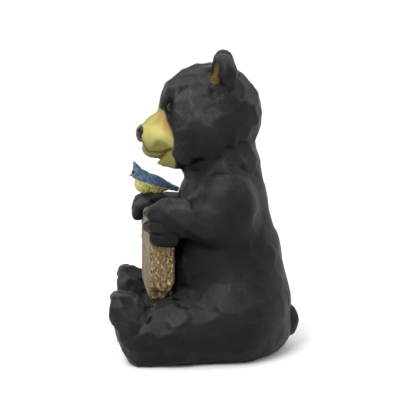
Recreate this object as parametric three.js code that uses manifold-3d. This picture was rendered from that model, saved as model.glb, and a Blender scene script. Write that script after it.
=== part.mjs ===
// A seated bear that holds up a bark-edged sign, with a small crested bird on its right paw.
// Millimetres, +Z up. The bear looks along -Y, its left side is +X, and it sits on z = 0.
// The origin is at the middle of the bounding box, on the ground.

import * as THREE from 'three';
import { triTable } from 'three/addons/objects/MarchingCubes.js';
import { mergeVertices } from 'three/addons/utils/BufferGeometryUtils.js';
import Module from 'manifold-3d';

const wasm = await Module();
wasm.setup();

// ---- Driving dimensions ----

const gap = 0.3;                 // clearance between neighbouring pieces
const headCentre = [0, 13, 453];
const headRadii = [96, 98, 98];
const muzzleCentre = [0, -74, 416];
const muzzleRadii = [46, 44, 39];
const earSpread = 60;            // side to side, from the middle to each ear
const earTurn = 12;              // degrees that each ear opens outwards
const legSpread = 110;           // from the middle to each foot
const footHeight = 142;
const soleTilt = 19;             // degrees that the sole leans forward
const toeCount = 5;
const fingerRadius = 12;

const signWidth = 180;
const signHeight = 158;
const signThickness = 48;
const signTurn = 7.5;            // degrees, the front face turned towards the left side
const signCentre = [0, -87, 192];

const birdSeat = [-66, -100, 291];  // where the bird stands on the right paw

// ---- Fields: each returns the distance from a point to a rounded form, negative inside ----

function egg(centre, radii, turn = [0, 0, 0]) {
  const rotation = new THREE.Euler(...turn.map(THREE.MathUtils.degToRad), 'ZYX');
  const place = new THREE.Matrix4().makeRotationFromEuler(rotation).setPosition(...centre);
  const inverse = place.invert();
  const local = new THREE.Vector3();
  return (point) => {
    local.copy(point).applyMatrix4(inverse);
    const near = Math.hypot(local.x / radii[0], local.y / radii[1], local.z / radii[2]);
    const slope = Math.hypot(
      local.x / radii[0] ** 2,
      local.y / radii[1] ** 2,
      local.z / radii[2] ** 2,
    );
    return slope > 0 ? near * (near - 1) / slope : -Math.min(...radii);
  };
}

function limb(from, to, fromRadius, toRadius) {
  const line = new THREE.Line3(new THREE.Vector3(...from), new THREE.Vector3(...to));
  const foot = new THREE.Vector3();
  return (point) => {
    const along = line.closestPointToPointParameter(point, true);
    line.at(along, foot);
    return foot.distanceTo(point) - THREE.MathUtils.lerp(fromRadius, toRadius, along);
  };
}

function melt(first, second, radius) {
  const mix = Math.max(radius - Math.abs(first - second), 0) / radius;
  return Math.min(first, second) - mix * mix * radius / 4;
}

// Adds forms one after another, each with its own blend radius. A form marked as a hollow
// is scooped out instead.
function sculpt(steps) {
  return (point) => {
    let distance = Infinity;
    for (const [form, blend, hollow] of steps) {
      if (hollow) {
        distance = -melt(-distance, form(point), blend);
      } else if (distance === Infinity) {
        distance = form(point);
      } else {
        distance = melt(distance, form(point), blend);
      }
    }
    return distance;
  };
}

// ---- Skin: one vertex for each sheet of surface in a grid cell, pulled onto the surface ----

function gridLines(from, to, stepAt) {
  const lines = [from];
  while (lines.at(-1) < to) {
    lines.push(lines.at(-1) + stepAt(lines.at(-1)));
  }
  return lines;
}

function slopeOf(field, point) {
  const probe = 0.2;
  const value = field(point);
  const slope = new THREE.Vector3();
  for (const axis of ['x', 'y', 'z']) {
    const moved = point.clone();
    moved[axis] += probe;
    slope[axis] = (field(moved) - value) / probe;
  }
  return { value, slope };
}

// Corners and edges of a grid cell, in the order that the table of cases uses.
const cellCorners = [
  [0, 0, 0], [1, 0, 0], [1, 1, 0], [0, 1, 0],
  [0, 0, 1], [1, 0, 1], [1, 1, 1], [0, 1, 1],
];
const cellEdges = [
  [0, 1], [1, 2], [3, 2], [0, 3],
  [4, 5], [5, 6], [7, 6], [4, 7],
  [0, 4], [1, 5], [2, 6], [3, 7],
];
// For a grid edge along x, y or z: its number in each of the four cells around it.
const ringEdges = [[6, 4, 0, 2], [5, 1, 3, 7], [10, 11, 8, 9]];

// The separate sheets of surface in a cell, each as the set of cell edges that it crosses.
function sheetsOf(cellCase) {
  let sheets = [];
  for (let entry = cellCase * 16; triTable[entry] >= 0; entry += 3) {
    const edges = [triTable[entry], triTable[entry + 1], triTable[entry + 2]];
    const touching = sheets.filter((sheet) => edges.some((edge) => sheet.has(edge)));
    const joined = new Set([...edges, ...touching.flatMap((sheet) => [...sheet])]);
    sheets = [...sheets.filter((sheet) => !touching.includes(sheet)), joined];
  }
  return sheets;
}

function skin(field, [xs, ys, zs]) {
  const size = [xs.length, ys.length, zs.length];
  const stride = [1, size[0], size[0] * size[1]];
  const values = new Float32Array(size[0] * size[1] * size[2]);
  const point = new THREE.Vector3();
  zs.forEach((z, k) => ys.forEach((y, j) => xs.forEach((x, i) => {
    values[i + j * stride[1] + k * stride[2]] = field(point.set(x, y, z));
  })));

  const vertexOf = new Map();
  const vertices = [];
  const addVertices = (i, j, k) => {
    const cell = i + j * stride[1] + k * stride[2];
    const places = cellCorners.map(([a, b, c]) => new THREE.Vector3(xs[i + a], ys[j + b], zs[k + c]));
    const levels = cellCorners.map(([a, b, c]) => values[cell + a + b * stride[1] + c * stride[2]]);
    const cellCase = levels.reduce((bits, level, corner) => bits | (level < 0) << corner, 0);
    const cellBox = new THREE.Box3(places[0], places[6]).expandByScalar(-0.4);
    for (const sheet of sheetsOf(cellCase)) {
      const middle = new THREE.Vector3();
      for (const edge of sheet) {
        const [start, end] = cellEdges[edge];
        const along = levels[start] / (levels[start] - levels[end]);
        middle.add(places[start].clone().lerp(places[end], along));
        vertexOf.set(cell * 12 + edge, vertices.length);
      }
      middle.divideScalar(sheet.size);
      for (let step = 0; step < 3; step += 1) {
        const { value, slope } = slopeOf(field, middle);
        middle.addScaledVector(slope, -value / Math.max(slope.lengthSq(), 0.1));
        cellBox.clampPoint(middle, middle);
      }
      vertices.push(middle);
    }
  };
  for (let k = 0; k < size[2] - 1; k += 1) {
    for (let j = 0; j < size[1] - 1; j += 1) {
      for (let i = 0; i < size[0] - 1; i += 1) {
        addVertices(i, j, k);
      }
    }
  }

  const indices = [];
  const addQuad = (a, b, c, d) => {
    const bend = (p, q) => Math.abs(field(point.lerpVectors(vertices[p], vertices[q], 0.5)));
    const sides = bend(a, c) < bend(b, d) ? [a, b, c, a, c, d] : [b, c, d, b, d, a];
    indices.push(...sides);
  };
  for (let k = 1; k < size[2] - 1; k += 1) {
    for (let j = 1; j < size[1] - 1; j += 1) {
      for (let i = 1; i < size[0] - 1; i += 1) {
        const node = i + j * stride[1] + k * stride[2];
        for (let axis = 0; axis < 3; axis += 1) {
          const inside = values[node] < 0;
          if (inside === values[node + stride[axis]] < 0) continue;
          const u = stride[(axis + 1) % 3];
          const v = stride[(axis + 2) % 3];
          const cells = [node - u - v, node - v, node, node - u];
          const ring = cells.map((cell, turn) => vertexOf.get(cell * 12 + ringEdges[axis][turn]));
          if (!inside) ring.reverse();
          addQuad(...ring);
        }
      }
    }
  }
  const geometry = new THREE.BufferGeometry();
  geometry.setAttribute('position', new THREE.Float32BufferAttribute(
    vertices.flatMap((vertex) => vertex.toArray()),
    3,
  ));
  geometry.setIndex(indices);
  return geometry;
}

// ---- Solids ----

function toSolid(source) {
  const bare = source.clone();
  bare.deleteAttribute('normal');
  bare.deleteAttribute('uv');
  const merged = mergeVertices(bare, 1e-4);
  return new wasm.Manifold(new wasm.Mesh({
    numProp: 3,
    vertProperties: new Float32Array(merged.attributes.position.array),
    triVerts: new Uint32Array(merged.index.array),
  }));
}

function toGeometry(solid) {
  const mesh = solid.getMesh();
  const geometry = new THREE.BufferGeometry();
  geometry.setAttribute('position', new THREE.BufferAttribute(mesh.vertProperties, 3));
  geometry.setIndex(new THREE.BufferAttribute(mesh.triVerts, 1));
  geometry.computeVertexNormals();
  return geometry;
}

// ---- The bear ----

function trunkForms() {
  return [
    [egg([0, 62, 92], [136, 108, 118]), 1],
    [egg([0, 59, 40], [126, 110, 60]), 20],
    [egg([0, 44, 182], [114, 106, 112]), 24],
    [egg([0, -8, 142], [92, 66, 62]), 24],
    [egg([0, 38, 284], [106, 86, 92]), 30],
    [egg([0, 45, 362], [82, 63, 58]), 26],
    [egg([0, 158, 53], [30, 27, 34]), 6],
  ];
}

function headForms() {
  const [x, y, z] = headCentre;
  const [, muzzleY, muzzleZ] = muzzleCentre;
  const forms = [
    [egg(headCentre, headRadii), 16],
    [egg([x, y - 26, z - 50], [84, 60, 58]), 22],
    [egg([x, y - 60, z + 38], [54, 28, 28]), 14],
    [egg(muzzleCentre, muzzleRadii), 9],
    [egg([0, muzzleY - 7, muzzleZ - 28], [35, 33, 18]), 4],
    [egg([0, muzzleY - 40, muzzleZ + 4], [20, 13, 16], [-12, 0, 0]), 3],
  ];
  for (const side of [-1, 1]) {
    forms.push([egg([side * 48, -76, 472], [18, 13, 15]), 10, true]);
    forms.push([limb([side * 34, -50, 374], [side * 27, -84, 366], 19, 4), 4]);
    const turn = THREE.MathUtils.degToRad(side * earTurn);
    const ear = [side * earSpread, 40, 538];
    const opening = [ear[0] + Math.sin(turn) * 19 - side * 3, ear[1] - Math.cos(turn) * 19, ear[2] + 1];
    forms.push([egg(ear, [30, 21, 34], [0, 0, side * earTurn]), 7]);
    forms.push([egg(opening, [19, 15, 23], [0, 0, side * earTurn]), 4, true]);
  }
  return forms;
}

function legForms(side) {
  const x = side * legSpread;
  const forms = [
    [egg([side * 80, 48, 86], [66, 72, 68]), 22],
    [limb([side * 80, 56, 66], [side * 100, -50, 57], 72, 61), 18],
    [limb([side * 100, -50, 57], [x, -104, 50], 61, 52), 18],
    [limb([side * 58, 50, 20], [side * 96, -96, 20], 52, 42), 14],
    [egg([x - side * 2, -113, 20], [42, 27, 32]), 10],
    [egg([x, -138, 74], [46, 25, 70], [soleTilt, 0, 0]), 12],
  ];
  for (let toe = 0; toe < toeCount; toe += 1) {
    const across = (toe / (toeCount - 1) - 0.5) * 2;
    const top = footHeight - 16 - 14 * across * across;
    const root = [x + across * 30, -142, top - 10];
    const tip = [x + across * 32, -160, top];
    forms.push([limb(root, tip, 13, 13), 4]);
  }
  return forms;
}

function armForms() {
  const forms = [];
  for (const side of [-1, 1]) {
    forms.push([egg([side * 90, 45, 292], [42, 58, 66]), 16]);
  }
  // left arm: the forearm runs forward and the hand closes round the sign's edge
  forms.push([egg([98, 30, 254], [38, 52, 36]), 14]);
  forms.push([limb([100, 20, 264], [98, -58, 276], 39, 35), 12]);
  forms.push([egg([98, -74, 266], [26, 22, 40]), 10]);
  for (let finger = 0; finger < 3; finger += 1) {
    const z = 283 - finger * 25;
    const back = finger ** 2 * 2;
    const bend = [101, -92 + back, z - 2];
    forms.push([limb([103, -72 + back, z], bend, fingerRadius + 3, fingerRadius + 1), 5]);
    forms.push([limb(bend, [86, -104 + back, z - 5], fingerRadius + 1, fingerRadius - 3), 3]);
  }
  // right arm: the hand lies on top of the sign and its fingers hang over the front
  forms.push([egg([-98, 26, 246], [38, 50, 36]), 14]);
  forms.push([limb([-100, 15, 252], [-88, -62, 258], 37, 32), 12]);
  forms.push([egg([-74, -96, 275], [35, 38, 20]), 12]);
  for (let finger = 0; finger < 4; finger += 1) {
    const x = -100 + finger * 18;
    const bow = 4 - Math.abs(finger - 1.5) * 3;
    const bend = [x, -127 - bow, 266];
    forms.push([limb([x, -105, 276], bend, fingerRadius, fingerRadius - 1), 5]);
    forms.push([limb(bend, [x, -130 - bow, 250], fingerRadius - 1, fingerRadius - 4), 3]);
  }
  return forms;
}

function bearSolid() {
  const flesh = sculpt([
    ...trunkForms(),
    ...headForms(),
    ...legForms(-1),
    ...legForms(1),
    ...armForms(),
  ]);
  const field = (point) => Math.max(flesh(point), -8 - point.z);
  const lines = [
    gridLines(-203, 203, () => 14.2),
    gridLines(-210, 214, (y) => (y < -40 ? 12 : 15.5)),
    gridLines(-31, 606, (z) => (z > 380 && z < 490 ? 12 : 15)),
  ];
  const ground = new THREE.BoxGeometry(800, 800, 100).translate(0, 0, -50);
  return toSolid(skin(field, lines)).subtract(toSolid(ground));
}

// ---- The sign ----

// One point of the sign's outline: a box with rounded corners and a hewn, rippled edge.
function signEdge(angle, grow) {
  const squareness = 0.32;
  const soften = (value) => Math.sign(value) * Math.abs(value) ** squareness;
  const ripple = 2.5 * Math.sin(angle * 5 + 1) + 1.5 * Math.sin(angle * 11);
  return new THREE.Vector2(
    soften(Math.cos(angle)) * (signWidth / 2 + grow + ripple),
    soften(Math.sin(angle)) * (signHeight / 2 + grow + ripple),
  );
}

// The slab stands upright before it is turned and placed. Its lower back edge is hewn off
// at a slant, so that it clears the lap. Grow makes the slab larger all over.
function signSolid(grow) {
  const edgePoints = 40;
  const outline = [];
  for (let point = 0; point < edgePoints; point += 1) {
    outline.push(signEdge(point / edgePoints * Math.PI * 2, grow));
  }
  const bevel = 5;
  const slab = new THREE.ExtrudeGeometry(new THREE.Shape(outline), {
    depth: signThickness - 2 * bevel + 2 * grow,
    bevelEnabled: true,
    bevelThickness: bevel,
    bevelSize: bevel,
    bevelOffset: -bevel,
    bevelSegments: 1,
  });
  slab.translate(0, 0, -signThickness / 2 + bevel - grow);
  slab.rotateX(Math.PI / 2);
  const cutterSize = 60;
  const slant = new THREE.BoxGeometry(signWidth * 2, cutterSize, cutterSize);
  slant.rotateX(THREE.MathUtils.degToRad(-40));
  slant.translate(0, signThickness / 2 + 22 + grow, -signHeight / 2 - 6 - grow);
  const placed = toGeometry(toSolid(slab).subtract(toSolid(slant)));
  placed.rotateZ(THREE.MathUtils.degToRad(signTurn));
  placed.translate(...signCentre);
  return toSolid(placed);
}

// ---- The bird ----

function birdSolid() {
  const [x, y, z] = birdSeat;
  const at = (forward, side, up) => [x + side, y - forward, z + up];
  const forms = [
    [egg(at(9, 0, 20), [19, 28, 22], [18, 0, 0]), 1],
    [egg(at(30, 0, 40), [13, 13, 13]), 8],
    [limb(at(28, 0, 46), at(35, 0, 63), 8, 2), 5],
    [limb(at(40, 0, 37), at(46, 0, 34), 4, 1.5), 2],
    [limb(at(-4, 0, 25), at(-56, 0, 17), 12, 4), 8],
  ];
  for (const side of [-1, 1]) {
    forms.push([egg(at(4, side * 13, 27), [8, 31, 11], [-16, 0, 0]), 3]);
  }
  const lines = [
    gridLines(x - 33, x + 33, () => 5.5),
    gridLines(y - 66, y + 76, () => 5.5),
    gridLines(z - 16, z + 76, () => 5.2),
  ];
  const pawTop = new THREE.BoxGeometry(200, 200, 40).translate(x, y, z + gap - 20);
  return toSolid(skin(sculpt(forms), lines)).subtract(toSolid(pawTop));
}

// The paw is flat where the bird stands.
function birdRoom() {
  const room = new THREE.BoxGeometry(52, 60, 60);
  room.translate(birdSeat[0], birdSeat[1] - 8, birdSeat[2] + 30);
  return toSolid(room);
}

// ---- Assembly ----

function piece(name, solid, colour, roughness) {
  const material = new THREE.MeshStandardMaterial({ color: colour, roughness, metalness: 0 });
  const mesh = new THREE.Mesh(toGeometry(solid), material);
  mesh.name = name;
  return mesh;
}

const statue = new THREE.Group();
const bear = bearSolid().subtract(signSolid(gap)).subtract(birdRoom());
statue.add(piece('bear', bear, 0x2b2b2e, 0.55));
statue.add(piece('sign', signSolid(0), 0x93805c, 0.85));
statue.add(piece('bird', birdSolid(), 0x3d5f8c, 0.6));

const box = new THREE.Box3().setFromObject(statue);
statue.position.set(-(box.min.x + box.max.x) / 2, -(box.min.y + box.max.y) / 2, -box.min.z);

export default statue;
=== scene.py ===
import math

import bpy
import numpy as np
from mathutils import Euler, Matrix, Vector, noise


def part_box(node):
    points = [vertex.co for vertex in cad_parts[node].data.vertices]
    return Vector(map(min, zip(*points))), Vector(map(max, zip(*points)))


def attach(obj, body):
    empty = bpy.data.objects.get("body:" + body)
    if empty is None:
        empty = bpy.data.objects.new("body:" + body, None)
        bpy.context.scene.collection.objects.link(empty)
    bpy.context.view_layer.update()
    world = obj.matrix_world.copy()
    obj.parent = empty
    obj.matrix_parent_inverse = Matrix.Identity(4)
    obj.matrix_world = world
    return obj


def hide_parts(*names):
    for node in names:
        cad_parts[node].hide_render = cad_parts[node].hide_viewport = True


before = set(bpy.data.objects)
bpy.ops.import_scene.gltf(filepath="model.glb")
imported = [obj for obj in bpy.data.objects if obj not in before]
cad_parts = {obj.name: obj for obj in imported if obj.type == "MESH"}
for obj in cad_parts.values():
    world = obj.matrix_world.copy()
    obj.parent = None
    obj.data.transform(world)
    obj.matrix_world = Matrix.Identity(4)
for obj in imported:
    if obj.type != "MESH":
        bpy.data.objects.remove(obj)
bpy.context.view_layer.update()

mm = 0.001

# the frame gives the places: the toes in front set the trunk's middle
bearLow, bearHigh = (Vector(corner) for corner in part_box("bear"))
trunkY = bearLow.y + 172.9 * mm


def place(x, y, z):
    # millimetres: x from the middle, y from the trunk's middle, z from the ground
    return Vector((x * mm, trunkY + y * mm, z * mm))


# small helpers that work like the menus

def deselectAll():
    if bpy.context.object and bpy.context.object.mode != "OBJECT":
        bpy.ops.object.mode_set(mode="OBJECT")
    bpy.ops.object.select_all(action="DESELECT")


def pick(piece):
    deselectAll()
    piece.select_set(True)
    bpy.context.view_layer.objects.active = piece


def placeInMesh(piece):
    pick(piece)
    bpy.ops.object.transform_apply(location=True, rotation=True, scale=True)


def applyModifier(piece, kind, **settings):
    pick(piece)
    modifier = piece.modifiers.new(kind.title(), kind)
    for name, value in settings.items():
        setattr(modifier, name, value)
    bpy.ops.object.modifier_apply(modifier=modifier.name)


def remesh(piece, voxel):
    applyModifier(piece, "REMESH", mode="VOXEL", voxel_size=voxel * mm)


def soften(piece, times):
    applyModifier(piece, "SMOOTH", factor=0.5, iterations=times)


def softenWhere(piece, weights, times):
    # smooths only where the weights say so
    group = piece.vertex_groups.new(name="soft")
    for index in np.flatnonzero(weights > 0.02):
        group.add([int(index)], float(weights[index]), "REPLACE")
    applyModifier(piece, "SMOOTH", factor=0.5, iterations=times, vertex_group="soft")
    piece.vertex_groups.clear()


def joinAll(pieces, name):
    deselectAll()
    for piece in pieces:
        piece.select_set(True)
    bpy.context.view_layer.objects.active = pieces[0]
    bpy.ops.object.join()
    joined = bpy.context.object
    joined.name = name
    joined.data.name = name
    return joined


def copyOfNode(nodeName, newName):
    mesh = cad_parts[nodeName].data.copy()
    piece = bpy.data.objects.new(newName, mesh)
    bpy.context.collection.objects.link(piece)
    mesh.materials.clear()
    pick(piece)
    bpy.ops.object.mode_set(mode="EDIT")
    bpy.ops.mesh.select_all(action="SELECT")
    bpy.ops.mesh.remove_doubles(threshold=0.01 * mm)
    bpy.ops.object.mode_set(mode="OBJECT")
    return piece


def turned(angles):
    return [math.radians(angle) for angle in angles]


def addEgg(centre, radii, turn=(0, 0, 0), segments=32):
    # a ball stretched to three radii, in millimetres and degrees
    bpy.ops.mesh.primitive_uv_sphere_add(segments=segments, ring_count=segments // 2,
                                         radius=mm, location=place(*centre), rotation=turned(turn))
    piece = bpy.context.object
    piece.scale = radii
    placeInMesh(piece)
    return piece


def addLimb(joints, radii):
    # a chain of tapered lengths with round joints
    pieces = [addEgg(joint, (radius,) * 3, segments=24) for joint, radius in zip(joints, radii)]
    for start, end, first, last in zip(joints, joints[1:], radii, radii[1:]):
        line = place(*end) - place(*start)
        bpy.ops.mesh.primitive_cone_add(vertices=24, radius1=first * mm, radius2=last * mm,
                                        depth=line.length,
                                        location=(place(*start) + place(*end)) / 2,
                                        rotation=line.to_track_quat("Z", "Y").to_euler())
        placeInMesh(bpy.context.object)
        pieces.append(bpy.context.object)
    return pieces


def points(piece):
    flat = np.empty(len(piece.data.vertices) * 3)
    piece.data.vertices.foreach_get("co", flat)
    return flat.reshape(-1, 3)


def normals(piece):
    flat = np.empty(len(piece.data.vertices) * 3)
    piece.data.vertices.foreach_get("normal", flat)
    return flat.reshape(-1, 3)


def movePoints(piece, moved):
    piece.data.vertices.foreach_set("co", moved.ravel())
    piece.data.update()


def pushOut(piece, lift):
    # moves each point along its normal by its own lift, in millimetres
    movePoints(piece, points(piece) + normals(piece) * (lift * mm)[:, None])


def inEgg(spots, centre, radii, turn=(0, 0, 0)):
    # each spot in the egg's own axes, where its surface is at distance 1
    rotation = np.array(Euler(turned(turn)).to_matrix())
    return (spots - np.array(place(*centre))) @ rotation / (np.array(radii) * mm)


def pressEgg(piece, centre, radii, turn=(0, 0, 0)):
    # pushes what lies in an egg back along the egg's own +Y, onto its far side
    spots = points(piece)
    local = inEgg(spots, centre, radii, turn)
    inside = (local ** 2).sum(axis=1) < 1
    across = local[:, 0] ** 2 + local[:, 2] ** 2
    local[inside, 1] = np.sqrt(1 - across[inside])
    rotation = np.array(Euler(turned(turn)).to_matrix())
    back = (local * np.array(radii) * mm) @ rotation.T + np.array(place(*centre))
    spots[inside] = back[inside]
    movePoints(piece, spots)


def fade(value, low, high):
    steps = np.clip((value - low) / (high - low), 0, 1)
    return steps * steps * (3 - 2 * steps)


def noiseAt(spots, size, seed=0.0):
    # one value, about -1 to 1, for each spot; size is the patch size in millimetres
    offset = Vector((seed * 7.3, seed * 3.1, seed * 5.7))
    return np.array([noise.noise(Vector(spot) / (size * mm) + offset) for spot in spots])


def knobsAt(spots, size, seed=0.0):
    # 1 on the top of each round knob, about 0 in the creases between them
    offset = Vector((seed * 7.3, seed * 3.1, seed * 5.7))
    nearest = [noise.voronoi(Vector(spot) / (size * mm) + offset)[0][0] for spot in spots]
    return 1 - np.array(nearest) / 0.75


def relief(piece, times):
    # how far each point stands out of a smoothed copy, in millimetres: ridges are positive
    pick(piece)
    bpy.ops.object.duplicate()
    twin = bpy.context.object
    soften(twin, times)
    out = ((points(piece) - points(twin)) * normals(piece)).sum(axis=1) / mm
    bpy.data.objects.remove(twin, do_unlink=True)
    return out


def paintMask(piece, name, columns):
    mask = piece.data.color_attributes.new(name, "FLOAT_COLOR", "POINT")
    colours = np.zeros((len(piece.data.vertices), 4))
    for index, column in enumerate(columns):
        colours[:, index] = column
    mask.data.foreach_set("color", colours.ravel())


def finishPiece(piece, material, node=None):
    pick(piece)
    bpy.ops.object.shade_smooth()
    piece.data.materials.append(material)
    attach(piece, "root")
    if node:
        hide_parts(node)
    print(piece.name, len(piece.data.polygons), "faces")


# materials

def linear(hexColour):
    values = [int(hexColour[start:start + 2], 16) / 255 for start in (1, 3, 5)]
    return [value / 12.92 if value <= 0.04045 else ((value + 0.055) / 1.055) ** 2.4
            for value in values] + [1.0]


def addNode(tree, kind, sockets=None, **settings):
    # adds a node with its settings; a socket gets either a plain value or a wire
    node = tree.nodes.new(kind)
    for name, value in settings.items():
        setattr(node, name, value)
    for socket, source in (sockets or {}).items():
        if isinstance(source, bpy.types.NodeSocket):
            tree.links.new(source, node.inputs[socket])
        else:
            node.inputs[socket].default_value = source
    return node


def newMaterial(name, **values):
    material = bpy.data.materials.new(name)
    material.use_nodes = True
    tree = material.node_tree
    shader = tree.nodes["Principled BSDF"]
    for socket, value in values.items():
        shader.inputs[socket.replace("_", " ")].default_value = value
    return material, tree, shader


# the bear

bearShape = {
    "voxel": 2.95,          # final mesh size, mm
    "facet": 31,            # gouge facets on the trunk and head, mm across
    "facetFine": 19,        # on paws and feet
    "scoop": 0.15,          # how hollow each gouge mark is, mm
    "facetTilt": 0.09,      # how far the flats lean at random
    "facetSink": 0.6,       # the deepest strokes lie this much lower, mm
    "facetEdge": 18,        # larger makes the ridges between strokes crisper
    "facetLimit": 3.0,      # no point moves further than this, mm
    "mouthDepth": 1.8,      # depths of the grooves, mm
    "cutDepth": 2.6,
    "tuftDepth": 2.8,
    "muzzle": ((0, -74, 418), (47, 44, 39)),
    "nose": ((0, -112, 419), (21, 15, 16)),
    "eye": (50, -56, 471),
    "eyeRadius": 10.8,
    "eyeTurn": 20,          # degrees that each eye looks outwards
    "tuftLine": ((-84, 371), (-67, 390), (-48, 399)),   # crease over each cheek tuft: y and z
    "tail": ((0, 159, 54), (28, 26, 34)),
    "ear": ((60, 38, 535), (31, 24, 35), 12),
    "earOpening": ((16, 13, 21), 18, 38),   # radii, distance from the ear's middle, turn
}


def smallForms():
    forms = [
        addEgg(*bearShape["muzzle"]),
        addEgg((0, -85, 387), (34, 31, 17)),               # lower lip
        addEgg(*bearShape["tail"]),
    ]
    x, y, z = bearShape["eye"]
    for side in (-1, 1):
        forms += addLimb([(side * 35, -50, 374), (side * 32, -68, 370), (side * 28, -86, 364)],
                         [19, 12.5, 3])                    # pointed tuft under the cheek
        turn = math.radians(bearShape["eyeTurn"])
        outward = Vector((side * math.sin(turn), -math.cos(turn), 0.1))
        bpy.ops.mesh.primitive_torus_add(major_radius=12.2 * mm, minor_radius=2.8 * mm,
                                         location=place(side * x, y, z) + outward * 2 * mm,
                                         rotation=outward.to_track_quat("Z", "Y").to_euler())
        lids = bpy.context.object
        lids.scale = (1.15, 0.82, 1)                       # an almond-shaped opening
        placeInMesh(lids)
        forms.append(lids)
    return forms


def earForms():
    centre, radii, turn = bearShape["ear"]
    return [addEgg((side * centre[0], *centre[1:]), radii, (0, 0, side * turn))
            for side in (-1, 1)]


def earHollow(side):
    centre = bearShape["ear"][0]
    radii, forward, turn = bearShape["earOpening"]
    angle = math.radians(side * turn)
    middle = (side * (centre[0] - 2) + math.sin(angle) * forward,
              centre[1] - math.cos(angle) * forward, centre[2] + 2)
    return middle, radii, (0, 0, side * turn)


def footForms():
    forms = []
    for side in (-1, 1):
        for toe in range(5):
            across = (toe - 2) / 2
            forms.append(addEgg((side * 110 + across * 31, -148, 109 - 12 * across * across),
                                (14, 22, 31), (14, 0, -across * 6)))
        forms.append(addEgg((side * 110, -127, 76), (45, 36, 62), (19, 0, 0)))
    return forms


def pawForms():
    forms = []
    for finger, (z, back) in enumerate([(282, 0), (256, 1), (232, 12)]):   # left paw
        forms += addLimb([(104, -70 + back, z + 3), (102, -90 + back, z), (88, -101 + back, z - 3)],
                         [16, 13.5, 10])
    forms.append(addEgg((-74, -103, 275), (36, 33, 19)))   # right paw, over the sign's top
    for finger in range(4):
        x = -101 + finger * 18.5
        bow = 5 - abs(finger - 1.5) * 3
        forms += addLimb([(x, -104, 275), (x, -122 - bow, 267), (x, -126 - bow, 253)],
                         [14, 14, 11])
    return forms


def facetSeeds(spots, spacing):
    # spreads seeds over the surface, no two nearer than the local spacing
    maker = np.random.default_rng(5)
    chosen = []
    seeds = np.empty((0, 3))
    for index in maker.permutation(len(spots))[:12000]:
        room = spacing[index] * maker.uniform(0.7, 1.35)
        if len(chosen) and np.min(((seeds - spots[index]) ** 2).sum(axis=1)) < room ** 2:
            continue
        chosen.append(index)
        seeds = np.vstack([seeds, spots[index]])
    return np.array(chosen)


def carveFacets(piece, spacing, depth):
    # Each seed is one gouge stroke: nearby points move along their normals to its flat,
    # slightly hollow face, and neighbouring strokes meet in a ridge. Each stroke also gets its
    # own random level for the paint, given back for every point: painted shade and painted
    # highlight that make the strokes look lit from different angles.
    spots = points(piece)
    directions = normals(piece)
    seeds = facetSeeds(spots, spacing)
    maker = np.random.default_rng(8)
    faceNormals = directions[seeds] + maker.normal(0, bearShape["facetTilt"], (len(seeds), 3))
    faceNormals /= np.linalg.norm(faceNormals, axis=1, keepdims=True)
    strokes = np.cross(faceNormals, maker.normal(0, 1, (len(seeds), 3)) + [0, 0, 1.4])
    strokes /= np.linalg.norm(strokes, axis=1, keepdims=True)
    sink = maker.uniform(0.0, bearShape["facetSink"], len(seeds)) * mm
    shades = maker.uniform(0, 1, len(seeds))
    shade = np.empty(len(spots))
    limit = bearShape["facetLimit"] * mm
    moved = spots.copy()
    for start in range(0, len(spots), 4000):
        part = slice(start, start + 4000)
        away = spots[part][:, None, :] - spots[seeds][None, :, :]
        along = np.einsum("pse,se->ps", away, strokes)
        reach = np.sqrt((away ** 2).sum(axis=2) - 0.45 * along ** 2) / spacing[seeds]
        facing = directions[part] @ directions[seeds].T
        reach += np.where(facing < 0.3, 4.0, 0.0)
        weight = np.exp(-(reach - reach.min(axis=1, keepdims=True)) * bearShape["facetEdge"])
        weight /= weight.sum(axis=1, keepdims=True)
        lift = -np.einsum("pse,se->ps", away, faceNormals)
        lift += bearShape["scoop"] * mm * (reach ** 2 * 2.4 - 0.6) - sink
        push = (weight * np.clip(lift, -limit, limit)).sum(axis=1) * depth[part]
        moved[part] += directions[part] * push[:, None]
        shade[part] = weight @ shades
    movePoints(piece, moved)
    return shade


def nearLine(y, z, corners, width):
    # 1 on a line drawn on the side of the head through (y, z) corners, fading to 0 beside it
    away = []
    for (startY, startZ), (endY, endZ) in zip(corners, corners[1:]):
        lineY, lineZ = endY - startY, endZ - startZ
        along = ((y - startY) * lineY + (z - startZ) * lineZ) / (lineY ** 2 + lineZ ** 2)
        along = np.clip(along, 0, 1)
        away.append(np.hypot(y - startY - along * lineY, z - startZ - along * lineZ))
    return 1 - fade(np.min(away, axis=0), 0.8, width)


def mouthAt(x, y, z):
    # the line between the lips, 1 on the line, fading to 0 beside it
    height = 385.5 + np.clip(-y - 98, 0, 20) ** 2 * 0.08 + np.clip(y + 80, 0, 30) * 0.3
    return (1 - fade(np.abs(z - height), 0.5, 3.4)) * fade(-y, 62, 74)


def cutsAt(x, y, z):
    # the cuts between fingers, between toes and round the tail, 1 along the middle of each
    spots = np.stack([x, y, z], axis=1)
    centre, radii = (np.array(value) for value in bearShape["tail"])
    tail = np.linalg.norm((spots - centre) / (radii + [1, 1, 1]), axis=1)
    cuts = [(1 - fade(np.abs(tail - 1.05), 0.02, 0.13)) * fade(y, 125, 140)]
    leftPaw = fade(-y, 68, 80) * fade(x, 78, 86)
    for height in (270, 245):
        cuts.append(leftPaw * (1 - fade(np.abs(z - height), 0.8, 4)))
    rightPaw = fade(-y, 104, 118) * fade(-x, 50, 60) * fade(z, 236, 244)
    for middle in (-91.5, -73, -54.5):
        cuts.append(rightPaw * (1 - fade(np.abs(x - middle), 0.8, 4)))
    toes = 0.6 * fade(-y, 138, 152) * fade(z, 84, 100) * (1 - fade(z, 125, 140))
    for index in range(4):
        middle = 110 + (index - 1.5) * 15.5
        cuts.append(toes * (1 - fade(np.abs(np.abs(x) - middle), 0.8, 4)))
    return np.max(cuts, axis=0)


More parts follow.
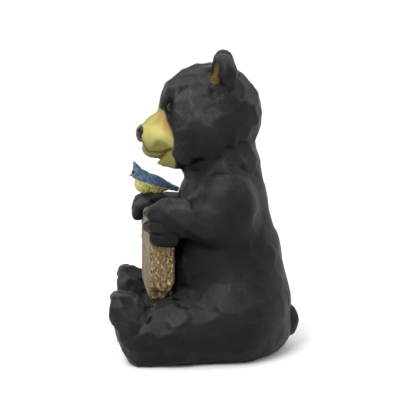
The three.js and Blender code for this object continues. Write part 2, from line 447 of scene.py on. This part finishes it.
def millimetres(piece):
    spots = points(piece) / mm
    return spots[:, 0], spots[:, 1] - trunkY / mm, spots[:, 2]


def buildBear():
    bear = copyOfNode("bear", "bearBody")
    remesh(bear, 4)
    soften(bear, 20)
    x, y, z = millimetres(bear)
    armpit = fade(y, 5, 45) * fade(z, 165, 200) * (1 - fade(z, 330, 370))
    armpit *= fade(np.abs(x), 55, 75)
    softenWhere(bear, armpit, 180)                         # the arms blend into the back
    for side in (-1, 1):
        pressEgg(bear, (side * 51, -75, 471), (20, 18, 17), (0, 0, side * bearShape["eyeTurn"]))
    bear = joinAll([bear] + smallForms() + earForms() + footForms() + pawForms(), "bearBody")
    remesh(bear, 3)
    soften(bear, 3)
    for side in (-1, 1):
        pressEgg(bear, *earHollow(side))
    remesh(bear, bearShape["voxel"])
    soften(bear, 5)
    crease = fade(-relief(bear, 40), 0.1, 0.9)
    spots = points(bear)
    x, y, z = millimetres(bear)
    face = 1 - fade(np.linalg.norm(inEgg(spots, (0, -78, 425), (62, 52, 75)), axis=1), 0.85, 1.15)
    tips = fade(-y, 68, 100) * (1 - fade(z, 300, 330))
    ears = fade(z, 528, 548) * fade(np.abs(x), 28, 40)
    spacing = (bearShape["facet"] + (bearShape["facetFine"] - bearShape["facet"]) * tips) * mm
    trunk = (1 - fade(z, 330, 370)) * fade(y, -40, 0)      # smoother here, as if sanded
    crown = fade(z, 415, 450) * (1 - face)
    depth = (1 - 0.7 * face - 0.4 * ears) * (1 - crease) * (1 - 0.55 * trunk)
    depth *= np.maximum(0.55 + 0.45 * fade(noiseAt(spots, 70, 4), -0.3, 0.2), crown)
    shade = carveFacets(bear, spacing, depth)
    tuft = nearLine(y, z, bearShape["tuftLine"], 4.5) * fade(np.abs(x), 14, 20)
    grooves = bearShape["mouthDepth"] * mouthAt(x, y, z) * face
    grooves += bearShape["cutDepth"] * cutsAt(x, y, z) + bearShape["tuftDepth"] * tuft
    pushOut(bear, -grooves)
    soften(bear, 1)
    spots = points(bear)
    spots[:, 2] = np.maximum(spots[:, 2], 0)
    movePoints(bear, spots)
    return bear, shade * (1 - 0.6 * trunk)


def paintBear(bear, shade):
    spots = points(bear)
    x, y, z = millimetres(bear)
    wobble = noiseAt(spots, 14, 1) * 3
    border = -71 + np.clip(457 - z, 0, 44) * 0.46 + wobble
    # the yellow lies in front of the border and inside these eggs
    balls = [((0, -74, 418), (70, 68, 50)), ((0, -80, 392), (60, 62, 28))]
    balls += [((side * 32, -62, 373), (25, 24, 26)) for side in (-1, 1)]
    reach = np.min([np.linalg.norm(inEgg(spots, *ball), axis=1) for ball in balls], axis=0)
    blur = 1 - fade(z, 402, 430)                           # sprayed softer on the lower half
    yellow = fade(border - y, -3 - 2 * blur, 3 + 7 * blur) * (1 - fade(reach, 0.97, 1.05))
    yellow *= fade(z + wobble, 347, 353)
    rim = yellow * (1 - fade(border - y + 2 * wobble, 1, 14 + 12 * fade(z, 415, 440)))
    rim *= 0.45 + 0.55 * fade(z, 404, 440)
    tuft = nearLine(y, z, bearShape["tuftLine"], 5) * fade(np.abs(x), 14, 20)
    # painted shade: the muzzle turns olive towards its bottom and on some strokes
    low = 1.15 - fade(z + 2 * wobble, 376, 436)
    olive = yellow * np.clip(low + 0.7 * (shade - 0.35), 0, 1)
    inner = np.zeros(len(spots))
    for side in (-1, 1):
        middle, radii, turn = earHollow(side)
        wider = [radius + 1 for radius in radii]
        reach = np.linalg.norm(inEgg(spots, middle, wider, turn), axis=1)
        inner = np.maximum(inner, 1 - fade(reach, 0.97, 1.06))
    mouth = np.maximum(mouthAt(x, y, z), 0.8 * tuft) * yellow
    ridge = fade(relief(bear, 12), 0.1, 0.5)
    # painted shade: creases, where the surface sinks below a smoothed copy, are painted darker
    crease = fade(-relief(bear, 40), 0.4, 2.4)
    upward = fade(normals(bear)[:, 2], -0.15, 0.95)
    # painted highlight: paler paint on faces that look up, on the front of the feet and on the
    # cheekbones, stronger on some strokes and weaker on the top of the head; the ridges get
    # pale dry brushing
    highlightAndDryBrush = upward * (0.3 + 0.2 * noiseAt(spots, 24, 3) + 1.1 * shade) + 0.12 * ridge
    highlightAndDryBrush += 0.3 * fade(-y, 100, 130) * (1 - fade(z, 150, 200)) * (0.3 + shade)
    cheekbone = fade(z, 420, 445) * (1 - fade(z, 500, 535))
    cheekbone *= fade(y, -62, -45) * (1 - fade(y, 10, 60))
    highlightAndDryBrush += 0.6 * cheekbone * (1 - yellow) * (0.35 + 1.1 * shade) - 0.2 * fade(z, 500, 540)
    # painted shade: darker paint in the lap behind the sign and round the eyes
    lapAndEyeShade = (1 - fade(z, 228, 262)) * fade(z, 105, 135) * (1 - fade(y, -40, 30))
    lapAndEyeShade *= 0.3 * (1 - fade(np.abs(x), 112, 130))
    eyeX, eyeY, eyeZ = bearShape["eye"]
    fromEye = np.sqrt((np.abs(x) - eyeX) ** 2 + (y - eyeY) ** 2 + (z - eyeZ) ** 2)
    lapAndEyeShade = np.maximum(lapAndEyeShade, 1 - fade(fromEye, 15, 26))
    # the cuts between fingers and toes and round the tail are darkened with the creases
    crease = np.maximum(crease, 0.6 * cutsAt(x, y, z))
    paintMask(bear, "zones", [yellow, rim, inner])
    paintMask(bear, "marks", [mouth, lapAndEyeShade, crease])
    paintMask(bear, "tones", [olive, np.maximum(highlightAndDryBrush, 0) * (1 - crease), 0])


def blackPaint():
    # satin black acrylic brushed over cast resin: near black, dry-brushed grey on the ridges,
    # painted highlight on faces that look up, painted shade in creases and recesses, and a
    # honey-yellow muzzle with thin brown washes on its mouth line and painted shade in olive and
    # brown
    material, tree, shader = newMaterial("satin black acrylic over cast resin")
    spot = addNode(tree, "ShaderNodeTexCoord").outputs["Object"]
    patches = addNode(tree, "ShaderNodeTexNoise", {"Vector": spot, "Scale": 1 / 0.05,
                                                   "Detail": 3.0})
    brush = addNode(tree, "ShaderNodeTexNoise", {"Vector": spot, "Scale": 1 / 0.007, "Detail": 5.0,
                                                 "Roughness": 0.6})
    grain = addNode(tree, "ShaderNodeTexNoise", {"Vector": spot, "Scale": 1 / 0.0016,
                                                 "Detail": 3.0})
    zones = addNode(tree, "ShaderNodeAttribute", attribute_name="zones").outputs["Color"]
    marks = addNode(tree, "ShaderNodeAttribute", attribute_name="marks").outputs["Color"]
    tones = addNode(tree, "ShaderNodeAttribute", attribute_name="tones").outputs["Color"]
    zone = addNode(tree, "ShaderNodeSeparateColor", {"Color": zones}).outputs
    mark = addNode(tree, "ShaderNodeSeparateColor", {"Color": marks}).outputs
    tone = addNode(tree, "ShaderNodeSeparateColor", {"Color": tones}).outputs

    # the black: soft patches, grey dry-brushing that catches on ridges together with painted
    # highlight on faces that look up, and painted shade in the creases, the lap and round the eyes
    cloud = addNode(tree, "ShaderNodeMapRange", {0: patches.outputs[0], 1: 0.35,
                                                 2: 0.65}).outputs[0]
    black = addNode(tree, "ShaderNodeMix", {0: cloud, 6: linear("#0b0c0d"), 7: linear("#131315")},
                    data_type="RGBA").outputs[2]
    bristles = addNode(tree, "ShaderNodeMapRange", {0: brush.outputs[0], 1: 0.3, 2: 0.7, 3: 0.12,
                                                    4: 0.34}).outputs[0]
    highlightBrushMix = addNode(tree, "ShaderNodeMath", {0: tone[1], 1: bristles},
                    operation="MULTIPLY").outputs[0]
    black = addNode(tree, "ShaderNodeMix", {0: highlightBrushMix, 6: black, 7: linear("#55565b")},
                    data_type="RGBA").outputs[2]
    shade = addNode(tree, "ShaderNodeMath", {0: mark[1], 1: mark[2]},
                    operation="MAXIMUM").outputs[0]
    black = addNode(tree, "ShaderNodeMix", {0: shade, 6: black, 7: linear("#070708")},
                    data_type="RGBA").outputs[2]

    # the muzzle: honey yellow, olive below and on some strokes as painted shade, tan where it was
    # sprayed into the black, brown in the creases as painted shade, and a dark brown mouth line
    yellow = addNode(tree, "ShaderNodeMix", {0: cloud, 6: linear("#9a9350"), 7: linear("#b0a965")},
                     data_type="RGBA").outputs[2]
    yellow = addNode(tree, "ShaderNodeMix", {0: tone[0], 6: yellow, 7: linear("#676330")},
                     data_type="RGBA").outputs[2]
    yellow = addNode(tree, "ShaderNodeMix", {0: zone[1], 6: yellow, 7: linear("#966b42")},
                     data_type="RGBA").outputs[2]
    yellow = addNode(tree, "ShaderNodeMix", {0: mark[2], 6: yellow, 7: linear("#5f4c26")},
                     data_type="RGBA").outputs[2]
    yellow = addNode(tree, "ShaderNodeMix", {0: mark[0], 6: yellow, 7: linear("#412617")},
                     data_type="RGBA").outputs[2]
    inner = addNode(tree, "ShaderNodeMix", {0: cloud, 6: linear("#37341f"), 7: linear("#5c4120")},
                    data_type="RGBA").outputs[2]
    colour = addNode(tree, "ShaderNodeMix", {0: zone[0], 6: black, 7: yellow},
                     data_type="RGBA").outputs[2]
    colour = addNode(tree, "ShaderNodeMix", {0: zone[2], 6: colour, 7: inner},
                     data_type="RGBA").outputs[2]
    tree.links.new(colour, shader.inputs["Base Color"])
    sheen = addNode(tree, "ShaderNodeMapRange", {0: shade, 3: 0.12, 4: 0.02})
    tree.links.new(sheen.outputs[0], shader.inputs["Specular IOR Level"])
    rough = addNode(tree, "ShaderNodeMapRange", {0: brush.outputs[0], 1: 0.3, 2: 0.7,
                                                 3: 0.4, 4: 0.52})
    tree.links.new(rough.outputs[0], shader.inputs["Roughness"])
    strokes = addNode(tree, "ShaderNodeBump", {"Height": brush.outputs[0], "Strength": 0.35,
                                               "Distance": 0.0008})
    texture = addNode(tree, "ShaderNodeBump", {"Height": grain.outputs[0], "Strength": 0.25,
                                               "Distance": 0.0002, "Normal": strokes.outputs[0]})
    tree.links.new(texture.outputs[0], shader.inputs["Normal"])
    return material


def glossBlack(name, shine):
    # gloss lacquer: a deep black with sharp, wet-looking highlights
    material, tree, shader = newMaterial(name, Roughness=0.16, Specular_IOR_Level=shine)
    spot = addNode(tree, "ShaderNodeTexCoord").outputs["Object"]
    cloud = addNode(tree, "ShaderNodeTexNoise", {"Vector": spot, "Scale": 1 / 0.009, "Detail": 2.0})
    colour = addNode(tree, "ShaderNodeMix", {0: cloud.outputs[0], 6: linear("#0b0b0d"),
                                             7: linear("#1a191b")}, data_type="RGBA").outputs[2]
    tree.links.new(colour, shader.inputs["Base Color"])
    ripple = addNode(tree, "ShaderNodeBump", {"Height": cloud.outputs[0], "Strength": 0.3,
                                              "Distance": 0.0006})
    tree.links.new(ripple.outputs[0], shader.inputs["Normal"])
    return material


def buildNose():
    nose = joinAll([addEgg(*bearShape["nose"], (-10, 0, 0)),
                    addEgg((0, -115, 411), (11, 11, 11)),      # the point above the lip
                    addEgg((12, -112, 423), (12, 13, 9)),
                    addEgg((-12, -112, 423), (12, 13, 9))], "nose")
    remesh(nose, 1.2)
    soften(nose, 6)
    for side in (-1, 1):
        pressEgg(nose, (side * 9.5, -128, 414), (4.5, 7, 3.2), (0, 0, side * 30))
    soften(nose, 2)
    return nose


def buildEyes():
    x, y, z = bearShape["eye"]
    radius = bearShape["eyeRadius"]
    balls = []
    for side in (-1, 1):
        turn = side * bearShape["eyeTurn"]
        ball = addEgg((side * x, y, z), (radius, radius, radius * 0.92), (0, 0, turn), segments=40)
        balls.append(ball)
    eyes = joinAll(balls, "eyes")
    for side in (-1, 1):                                       # a flatter front, like a bead
        turn = side * bearShape["eyeTurn"]
        local = inEgg(points(eyes), (side * x, y, z), (radius,) * 3, (0, 0, turn))
        near = (local ** 2).sum(axis=1) < 1.2
        back = np.where(near, fade(-local[:, 1], 0.5, 1.0) * 1.2 * mm, 0)
        movePoints(eyes, points(eyes) - normals(eyes) * back[:, None])
    return eyes


bear, strokeShade = buildBear()
paintBear(bear, strokeShade)
beadGloss = glossBlack("gloss black bead enamel", 0.12)
finishPiece(bear, blackPaint(), "bear")
finishPiece(buildNose(), glossBlack("gloss black lacquer", 0.2))
finishPiece(buildEyes(), beadGloss)


# the sign

signShape = {
    "voxel": 1.5,           # final mesh size, mm
    "centre": (0, -87, 192),
    "turn": 7.5,            # degrees
    "knob": 9.5,            # bark knobs, mm across
    "knobHeight": 4.6,
    "strokeRows": ((34, 7), (2, 6), (-30, 7)),   # height over the middle, and how many
    "slant": (43, 0.6),     # the lower back edge is hewn away from this depth under the middle
    "chip": 3.0,            # depth of the splits along the sawn edges, mm
    "crack": 2.0,
    "strokeStep": 21,
    "strokeSize": (16, 5.2, 2.6),                # length, width and depth, mm
}


def onSign(spots):
    # millimetres in the sign's own axes: across, from the front to the back, and up
    return inEgg(spots, signShape["centre"], (1, 1, 1), (0, 0, signShape["turn"]))


def cutStrokes(local):
    # short slanted gouge cuts in rows, deepest in the middle of each
    maker = np.random.default_rng(3)
    length, width, depth = signShape["strokeSize"]
    cut = np.zeros(len(local))
    for height, count in signShape["strokeRows"]:
        for index in range(count):
            middle = (index - (count - 1) / 2) * signShape["strokeStep"] + maker.uniform(-1.5, 1.5)
            lean = math.radians(14 + maker.uniform(-5, 5))
            right = local[:, 0] - middle
            up = local[:, 2] - height
            along = (up * math.cos(lean) + right * math.sin(lean)) / (length / 2)
            across = (right * math.cos(lean) - up * math.sin(lean)) / (width / 2)
            cut = np.maximum(cut, np.clip(1 - along ** 4 - across ** 2, 0, 1) * depth)
    return cut


def buildSign():
    sign = copyOfNode("sign", "signBoard")
    remesh(sign, signShape["voxel"])
    local = onSign(points(sign))
    depth, steepness = signShape["slant"]
    halfThickness = 24
    hewn = np.clip(-depth - local[:, 2], 0, 40) * steepness
    extra = np.clip(local[:, 1] - halfThickness + hewn, 0, 30)
    backward = np.array(Euler((0, 0, math.radians(signShape["turn"]))).to_matrix())[:, 1]
    movePoints(sign, points(sign) - extra[:, None] * backward * mm)
    soften(sign, 6)
    spots = points(sign)
    local = onSign(spots)
    # which way each point faces, in the sign's own axes
    facing = inEgg(normals(sign) * mm + np.array(place(0, 0, 0)), (0, 0, 0), (1, 1, 1),
                   (0, 0, signShape["turn"]))
    ragged = 0.22 * noiseAt(spots, 7, 12) + 0.12 * noiseAt(spots, 3, 13)
    bark = 1 - fade(np.abs(facing[:, 1]) + ragged, 0.45, 0.85)
    edge = fade(np.abs(local[:, 0]), 70, 86)              # the bark is thickest on the two sides
    stretched = spots * [1, 1, 0.62]
    patch = 0.45 + 0.55 * fade(noiseAt(spots, 34, 2), -0.25, 0.15)
    lift = bark * signShape["knobHeight"] * (knobsAt(stretched, signShape["knob"]) - 0.55)
    lift *= patch * (0.55 + 0.45 * edge)
    lift += bark * noiseAt(stretched, 3.6, 4) * 1.1
    lift += bark * noiseAt(spots, 22, 5) * 3.2
    grain = noiseAt(local * np.array([1, 1, 0.07]) * mm, 4.2, 6)
    crack = 1 - fade(np.abs(noiseAt(local * np.array([1, 1, 0.05]) * mm, 21, 7)), 0.0, 0.07)
    crack *= fade(noiseAt(spots, 30, 9), 0.0, 0.2)
    flat = 1 - bark
    lift += flat * (grain * 0.45 - crack * signShape["crack"])
    chipped = fade(noiseAt(spots, 9, 14), 0.05, 0.5) * fade(np.abs(local[:, 0]), 66, 84)
    lift -= flat * chipped * signShape["chip"]
    front = fade(-facing[:, 1], 0.5, 0.8)
    cut = cutStrokes(local) * front
    lift -= cut
    pushOut(sign, lift)
    soften(sign, 1)
    shape = relief(sign, 14)
    specks = fade(noiseAt(stretched, 4.5, 15), 0.36, 0.5) * fade(noiseAt(spots, 25, 16), -0.2, 0.2)
    paintMask(sign, "zones", [bark, fade(facing[:, 1], 0.2, 0.7),
                              np.clip(cut / 1.6 + flat * crack + 0.75 * specks, 0, 1)])
    # painted shade in the hollows of the bark and painted highlight on its bumps
    paintMask(sign, "marks", [fade(-shape, 0.0, 0.55), fade(shape, 0.1, 1.0)])
    return sign


def paintedWood():
    # resin painted as old timber: a grey-tan sawn face with a brown wash in its grain,
    # and yellow-brown bark knobs with painted highlight on their tops, over pits darkened as
    # painted shade
    material, tree, shader = newMaterial("antiqued timber paint over cast resin",
                                         Specular_IOR_Level=0.3)
    spot = addNode(tree, "ShaderNodeTexCoord").outputs["Object"]
    lengthways = addNode(tree, "ShaderNodeMapping", {
        "Vector": spot, "Rotation": (0, 0, math.radians(-signShape["turn"])),
        "Scale": (1 / 0.003, 1 / 0.003, 1 / 0.05)}).outputs[0]
    fibres = addNode(tree, "ShaderNodeTexNoise", {"Vector": lengthways, "Scale": 1.0, "Detail": 5.0,
                                                  "Roughness": 0.65})
    blotch = addNode(tree, "ShaderNodeTexNoise", {"Vector": spot, "Scale": 1 / 0.014,
                                                  "Detail": 4.0})
    speck = addNode(tree, "ShaderNodeTexNoise", {"Vector": spot, "Scale": 1 / 0.0035,
                                                 "Detail": 4.0})
    zones = addNode(tree, "ShaderNodeAttribute", attribute_name="zones").outputs["Color"]
    marks = addNode(tree, "ShaderNodeAttribute", attribute_name="marks").outputs["Color"]
    zone = addNode(tree, "ShaderNodeSeparateColor", {"Color": zones}).outputs
    mark = addNode(tree, "ShaderNodeSeparateColor", {"Color": marks}).outputs
    lines = addNode(tree, "ShaderNodeMapRange", {0: fibres.outputs[0], 1: 0.42, 2: 0.62}).outputs[0]
    mottle = addNode(tree, "ShaderNodeMapRange", {0: blotch.outputs[0], 1: 0.4, 2: 0.62}).outputs[0]
    dots = addNode(tree, "ShaderNodeMapRange", {0: speck.outputs[0], 1: 0.42, 2: 0.66}).outputs[0]
    face = addNode(tree, "ShaderNodeMix", {0: lines, 6: linear("#655643"), 7: linear("#85765d")},
                   data_type="RGBA").outputs[2]
    face = addNode(tree, "ShaderNodeMix", {0: zone[1], 6: face, 7: linear("#4f3a2c")},
                   data_type="RGBA").outputs[2]
    bark = addNode(tree, "ShaderNodeMix", {0: mottle, 6: linear("#6d5d40"), 7: linear("#968a56")},
                   data_type="RGBA").outputs[2]
    bark = addNode(tree, "ShaderNodeMix", {0: dots, 6: linear("#5a422e"), 7: bark},
                   data_type="RGBA").outputs[2]
    bark = addNode(tree, "ShaderNodeMix", {0: mark[1], 6: bark, 7: linear("#c0b37c")},
                   data_type="RGBA").outputs[2]
    colour = addNode(tree, "ShaderNodeMix", {0: zone[0], 6: face, 7: bark},
                     data_type="RGBA").outputs[2]
    pits = addNode(tree, "ShaderNodeMath", {0: mark[0], 1: 0.95}, operation="MULTIPLY").outputs[0]
    colour = addNode(tree, "ShaderNodeMix", {0: pits, 6: colour, 7: linear("#33231a")},
                     data_type="RGBA").outputs[2]
    colour = addNode(tree, "ShaderNodeMix", {0: zone[2], 6: colour, 7: linear("#2e2119")},
                     data_type="RGBA").outputs[2]
    tree.links.new(colour, shader.inputs["Base Color"])
    rough = addNode(tree, "ShaderNodeMapRange", {0: speck.outputs[0], 1: 0.3, 2: 0.7,
                                                 3: 0.6, 4: 0.8})
    tree.links.new(rough.outputs[0], shader.inputs["Roughness"])
    bump = addNode(tree, "ShaderNodeBump", {"Height": fibres.outputs[0], "Strength": 0.5,
                                            "Distance": 0.0006})
    fine = addNode(tree, "ShaderNodeBump", {"Height": speck.outputs[0], "Strength": 0.4,
                                            "Distance": 0.0006, "Normal": bump.outputs[0]})
    tree.links.new(fine.outputs[0], shader.inputs["Normal"])
    return material


finishPiece(buildSign(), paintedWood(), "sign")


# the bird

birdShape = {
    "voxel": 0.8,           # final mesh size, mm
    "seat": (-66, -100, 291),
    "slope": -21,           # degrees that the back falls towards the tail
    "wingFeathers": 6,
    "tailFeathers": 5,
}


def perch(forward, side, up):
    x, y, z = birdShape["seat"]
    return (x + side, y - forward, z + up)


def birdForms():
    slope = birdShape["slope"]
    forms = [
        addEgg(perch(13, 0, 20.5), (18, 21, 21)),                     # breast
        addEgg(perch(-5, 0, 22), (16, 32, 15), (slope, 0, 0)),        # back and rump
        addEgg(perch(-1, 0, 14), (14, 24, 12.5), (slope, 0, 0)),      # belly
        addEgg(perch(16, 0, 33), (12, 16, 13), (-40, 0, 0)),          # nape
        addEgg(perch(27, 0, 39), (12.5, 12.5, 12.5)),                 # head
    ]
    crest = [perch(28, 0, 45), perch(31, 0, 54), perch(34, 0, 62)]
    beak = [perch(37, 0, 37.5), perch(43.5, 0, 34.5)]
    forms += addLimb(crest, [9.5, 5.5, 1.8])
    forms += addLimb(beak, [3.3, 1.2])
    for side in (-1, 1):
        forms.append(addEgg(perch(2, side * 14, 25), (6, 27, 11), (slope, 0, side * 4)))    # wing
        for feather in range(birdShape["wingFeathers"]):
            back = 8 - feather * 8
            forms.append(addEgg(perch(back, side * (18 - feather * 1.6), 26 + back * 0.28),
                                (2.2, 12, 4.5), (slope - 8, 0, side * 7)))
            forms.append(addEgg(perch(back - 8, side * (17 - feather * 1.8), 19.5 + back * 0.24),
                                (2.2, 14, 4), (slope - 4, 0, side * 9)))
    for feather in range(birdShape["tailFeathers"]):
        across = feather - (birdShape["tailFeathers"] - 1) / 2
        forms.append(addEgg(perch(-33, across * 3.4, 18 - abs(across) * 0.5), (3, 23, 2.4),
                            (-18, 0, -across * 2.5)))
    return forms


def buildBird():
    bird = joinAll(birdForms(), "birdBody")
    remesh(bird, birdShape["voxel"])
    soften(bird, 4)
    spots = points(bird)
    forward = -(spots[:, 1] - place(*birdShape["seat"]).y) / mm
    side = np.abs(spots[:, 0] / mm - birdShape["seat"][0])
    up = spots[:, 2] / mm - birdShape["seat"][2]
    border = 20.8 + 0.31 * forward + noiseAt(spots, 5, 1) * 1.2
    yellow = fade(border - up, -0.8, 0.8) * fade(forward, -34, -28)
    beak = fade(forward - up * 0.12, 33.4, 34.6) * (1 - fade(side, 3.8, 5)) * (1 - fade(up, 41, 43))
    pebbles = (knobsAt(spots, 3.4, 2) - 0.5) * 1.5
    down = noiseAt(spots, 2.6, 3) * 0.3
    pushOut(bird, yellow * pebbles + (1 - yellow) * down)
    soften(bird, 1)
    spots = points(bird)
    spots[:, 2] = np.maximum(spots[:, 2], place(0, 0, birdShape["seat"][2] + 0.3).z)
    movePoints(bird, spots)
    shape = relief(bird, 10)
    dark = (1 - fade(np.hypot(forward - 36.5, up - 43.5), 2.5, 4.5)) * fade(side, 4, 7)
    paintMask(bird, "zones", [yellow, beak, dark])
    # painted shade in the hollows, with a dark wash, and painted highlight on the ridges, with
    # paler feather tips
    paintMask(bird, "marks", [fade(-shape, 0.03, 0.4), fade(shape, 0.05, 0.4), 0])
    return bird


def birdPaint():
    # hand-painted resin: a slate-blue back with paler feather tips and painted highlight on its
    # ridges, and a straw-yellow breast with dark wash and painted shade left in its texture
    material, tree, shader = newMaterial("hand-brushed bird paint over cast resin",
                                         Specular_IOR_Level=0.35)
    spot = addNode(tree, "ShaderNodeTexCoord").outputs["Object"]
    patches = addNode(tree, "ShaderNodeTexNoise", {"Vector": spot, "Scale": 1 / 0.006,
                                                   "Detail": 4.0})
    speck = addNode(tree, "ShaderNodeTexNoise", {"Vector": spot, "Scale": 1 / 0.0014,
                                                 "Detail": 3.0})
    zones = addNode(tree, "ShaderNodeAttribute", attribute_name="zones").outputs["Color"]
    marks = addNode(tree, "ShaderNodeAttribute", attribute_name="marks").outputs["Color"]
    zone = addNode(tree, "ShaderNodeSeparateColor", {"Color": zones}).outputs
    mark = addNode(tree, "ShaderNodeSeparateColor", {"Color": marks}).outputs
    mottle = addNode(tree, "ShaderNodeMapRange", {0: patches.outputs[0], 1: 0.38,
                                                  2: 0.62}).outputs[0]
    blue = addNode(tree, "ShaderNodeMix", {0: mottle, 6: linear("#2c4056"), 7: linear("#46607a")},
                   data_type="RGBA").outputs[2]
    blue = addNode(tree, "ShaderNodeMix", {0: mark[1], 6: blue, 7: linear("#647d95")},
                   data_type="RGBA").outputs[2]
    blue = addNode(tree, "ShaderNodeMix", {0: mark[0], 6: blue, 7: linear("#243240")},
                   data_type="RGBA").outputs[2]
    yellow = addNode(tree, "ShaderNodeMix", {0: mottle, 6: linear("#97904f"), 7: linear("#b3ab6c")},
                     data_type="RGBA").outputs[2]
    yellow = addNode(tree, "ShaderNodeMix", {0: mark[0], 6: yellow, 7: linear("#544c27")},
                     data_type="RGBA").outputs[2]
    colour = addNode(tree, "ShaderNodeMix", {0: zone[0], 6: blue, 7: yellow},
                     data_type="RGBA").outputs[2]
    colour = addNode(tree, "ShaderNodeMix", {0: zone[1], 6: colour, 7: linear("#b9522c")},
                     data_type="RGBA").outputs[2]
    colour = addNode(tree, "ShaderNodeMix", {0: zone[2], 6: colour, 7: linear("#1a2028")},
                     data_type="RGBA").outputs[2]
    tree.links.new(colour, shader.inputs["Base Color"])
    rough = addNode(tree, "ShaderNodeMapRange", {0: patches.outputs[0], 1: 0.3, 2: 0.7,
                                                 3: 0.48, 4: 0.62})
    tree.links.new(rough.outputs[0], shader.inputs["Roughness"])
    bump = addNode(tree, "ShaderNodeBump", {"Height": speck.outputs[0], "Strength": 0.4,
                                            "Distance": 0.0003})
    tree.links.new(bump.outputs[0], shader.inputs["Normal"])
    return material


finishPiece(buildBird(), birdPaint(), "bird")
finishPiece(joinAll([addEgg(perch(35.5, side * 9.2, 43.5), (1.6, 2.2, 2.2), segments=24)
                     for side in (-1, 1)], "birdEyes"), beadGloss)


# studio

studio = {
    "floor": 6.0,
    "distance": 2.675,
    "azimuth": 90,
    "elevation": 10,
    "lens": 121.5,
    "daylight": 1.05,       # brightness of the white room
    "key": 34,              # watts, from the front left
    "top": 9,
    "target": (0, 9.6, 273.8),
}


def aim(thing, target):
    thing.rotation_euler = (Vector(target) - thing.location).to_track_quat("-Z", "Y").to_euler()


def addSoftbox(name, location, target, size, power):
    light = bpy.data.lights.new(name, "AREA")
    light.shape = "RECTANGLE"
    light.size, light.size_y = size
    light.energy = power
    lamp = bpy.data.objects.new(name, light)
    bpy.context.collection.objects.link(lamp)
    lamp.location = location
    aim(lamp, target)


def buildStudio():
    bpy.ops.mesh.primitive_plane_add(size=studio["floor"], location=(0, 0, 0))
    floor = bpy.context.object
    floor.name = "floor"
    material, _, shader = newMaterial("matt white paper sweep", Roughness=0.95,
                                      Specular_IOR_Level=0.1)
    shader.inputs["Base Color"].default_value = linear("#fafafa")
    floor.data.materials.append(material)
    world = bpy.data.worlds.new("studio")
    world.use_nodes = True
    world.node_tree.nodes["Background"].inputs[0].default_value = (1, 1, 1, 1)
    world.node_tree.nodes["Background"].inputs[1].default_value = studio["daylight"]
    bpy.context.scene.world = world
    middle = (0, 0, bearHigh.z * 0.6)
    addSoftbox("key", (1.6, -0.7, 1.9), middle, (0.9, 0.9), studio["key"])
    addSoftbox("top", (0.2, -0.6, 2.4), middle, (1.2, 1.2), studio["top"])

    target = place(*studio["target"])
    azimuth = math.radians(studio["azimuth"])
    elevation = math.radians(studio["elevation"])
    toCamera = Vector((math.sin(azimuth) * math.cos(elevation),
                       -math.cos(azimuth) * math.cos(elevation), math.sin(elevation)))
    camera = bpy.data.objects.new("camera", bpy.data.cameras.new("camera"))
    bpy.context.collection.objects.link(camera)
    camera.location = target + toCamera * studio["distance"]
    camera.data.lens = studio["lens"]
    aim(camera, target)
    bpy.context.scene.camera = camera
    bpy.context.scene.view_settings.view_transform = "Standard"
    print("studio ready")


buildStudio()
bpy.context.view_layer.update()
